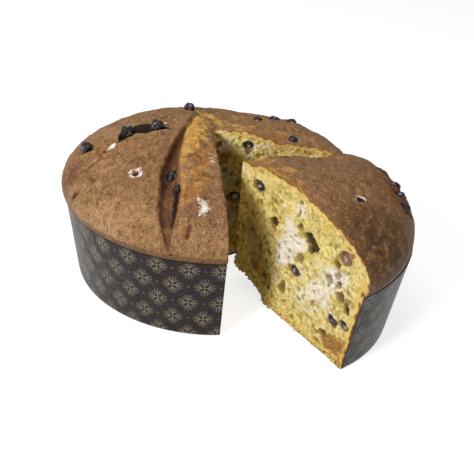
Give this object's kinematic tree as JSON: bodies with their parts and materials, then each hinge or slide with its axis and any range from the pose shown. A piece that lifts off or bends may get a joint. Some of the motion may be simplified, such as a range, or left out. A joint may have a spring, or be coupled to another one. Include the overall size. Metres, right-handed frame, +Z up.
{
  "type": "panettone",
  "caption": "Low round sweet yeast loaf with dried berries in its patterned paper baking mould, cut, with a wedge swung out to show the open yellow crumb.",
  "frame": {"origin": "under the middle of the whole, on the surface that the paper base rests on", "axes": "+Z up, +X to the right of a viewer who looks at the open cut, +Y away from that viewer"},
  "size_m": [0.2468, 0.2348, 0.1057],
  "materials": {
    "bread": "baked yeast dough: matte speckled tan-brown crust, open yellow crumb where cut",
    "mould_paper": "dark brown satin baking paper with a printed taupe rosette lattice",
    "dried_berry": "dark wrinkled dried berry with a soft sheen"
  },
  "bodies": {
    "root": {"loaf": "bread", "wedge": "bread", "loaf_paper": "mould_paper", "wedge_paper": "mould_paper", "loaf_berry_1": "dried_berry", "loaf_berry_2": "dried_berry", "loaf_berry_3": "dried_berry", "loaf_berry_4": "dried_berry", "loaf_berry_5": "dried_berry", "loaf_berry_6": "dried_berry", "loaf_berry_7": "dried_berry", "loaf_berry_8": "dried_berry", "loaf_berry_9": "dried_berry", "loaf_berry_10": "dried_berry", "wedge_berry_1": "dried_berry", "wedge_berry_2": "dried_berry", "wedge_berry_3": "dried_berry", "loaf_fruit_1": "dried_berry", "loaf_fruit_2": "dried_berry", "wedge_fruit_1": "dried_berry", "wedge_fruit_2": "dried_berry", "wedge_fruit_3": "dried_berry", "wedge_fruit_4": "dried_berry", "wedge_fruit_5": "dried_berry"}
  },
  "joints": []
}
